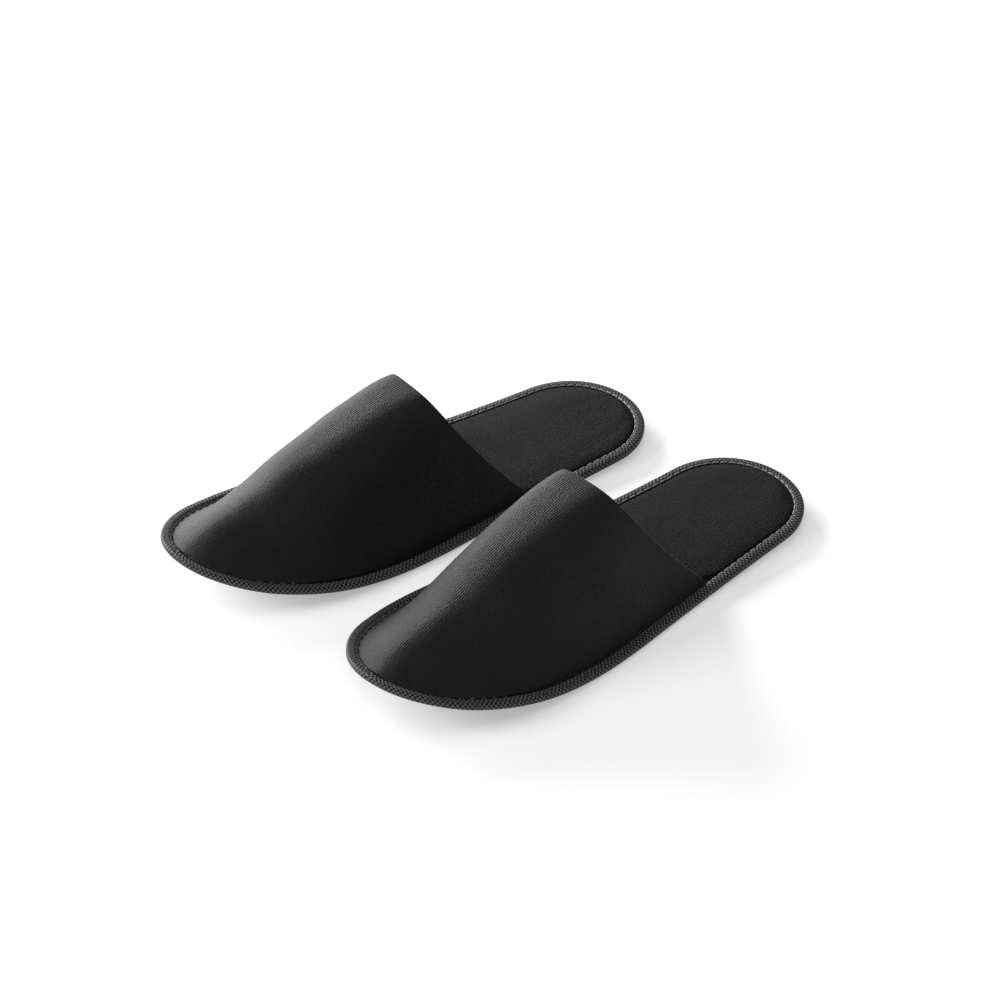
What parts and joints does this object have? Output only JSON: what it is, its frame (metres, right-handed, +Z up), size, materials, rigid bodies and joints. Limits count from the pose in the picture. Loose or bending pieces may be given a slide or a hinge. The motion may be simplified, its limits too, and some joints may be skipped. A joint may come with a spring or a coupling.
{
  "type": "spa slippers",
  "caption": "Pair of black closed-toe spa slippers with an open heel, a soft fabric upper, a padded insole and a thin flexible sole bound in woven tape.",
  "frame": {"origin": "on the floor under the middle of the pair", "axes": "+X towards the toes, +Y to the wearer's left, +Z up"},
  "size_m": [0.3032, 0.2408, 0.0734],
  "materials": {
    "eva_outsole": "matt foamed EVA with a fine dotted grip pattern",
    "midsole_foam": "closed-cell foam",
    "insole_fabric": "brushed knit fabric over foam, slightly fuzzy",
    "binding_tape": "woven polypropylene tape with a small diamond weave and a slight sheen",
    "upper_fabric": "finely ribbed brushed fabric, matt",
    "interlining": "thin foam-backed interlining",
    "lining_fabric": "smooth knitted lining",
    "thread": "spun polyester sewing thread"
  },
  "bodies": {
    "left_forefoot": {"left_outsole_front": "eva_outsole", "left_midsole_foam_front": "midsole_foam", "left_insole_cover_front": "insole_fabric", "left_edge_binding_front": "binding_tape", "left_upper_outer_fabric": "upper_fabric", "left_upper_interlining": "interlining", "left_upper_lining": "lining_fabric", "left_throat_hem": "upper_fabric", "left_needle_thread_front": "thread", "left_bobbin_thread_front": "thread"},
    "left_heel": {"left_outsole_heel": "eva_outsole", "left_midsole_foam_heel": "midsole_foam", "left_insole_cover_heel": "insole_fabric", "left_edge_binding_heel": "binding_tape", "left_needle_thread_heel": "thread", "left_bobbin_thread_heel": "thread"},
    "right_forefoot": {"right_outsole_front": "eva_outsole", "right_midsole_foam_front": "midsole_foam", "right_insole_cover_front": "insole_fabric", "right_edge_binding_front": "binding_tape", "right_upper_outer_fabric": "upper_fabric", "right_upper_interlining": "interlining", "right_upper_lining": "lining_fabric", "right_throat_hem": "upper_fabric", "right_needle_thread_front": "thread", "right_bobbin_thread_front": "thread"},
    "right_heel": {"right_outsole_heel": "eva_outsole", "right_midsole_foam_heel": "midsole_foam", "right_insole_cover_heel": "insole_fabric", "right_edge_binding_heel": "binding_tape", "right_needle_thread_heel": "thread", "right_bobbin_thread_heel": "thread"}
  },
  "joints": [
    {"name": "left_sole_flex", "type": "hinge", "parent": "left_forefoot", "child": "left_heel", "pos_m": [-0.07071, 0.05735, 0.0062], "axis": [-0.0644, 0.9979, 0], "range_deg": [-8, 50], "stiffness_Nm_per_rad": 0.12},
    {"name": "right_sole_flex", "type": "hinge", "parent": "right_forefoot", "child": "right_heel", "pos_m": [-0.05703, -0.05735, 0.0062], "axis": [0.0644, 0.9979, 0], "range_deg": [-8, 50], "stiffness_Nm_per_rad": 0.12},
    {"name": "right_slipper_lift", "type": "slide", "parent": "left_forefoot", "child": "right_forefoot", "axis": [0, 0, 1], "range_m": [0, 0.15]}
  ]
}
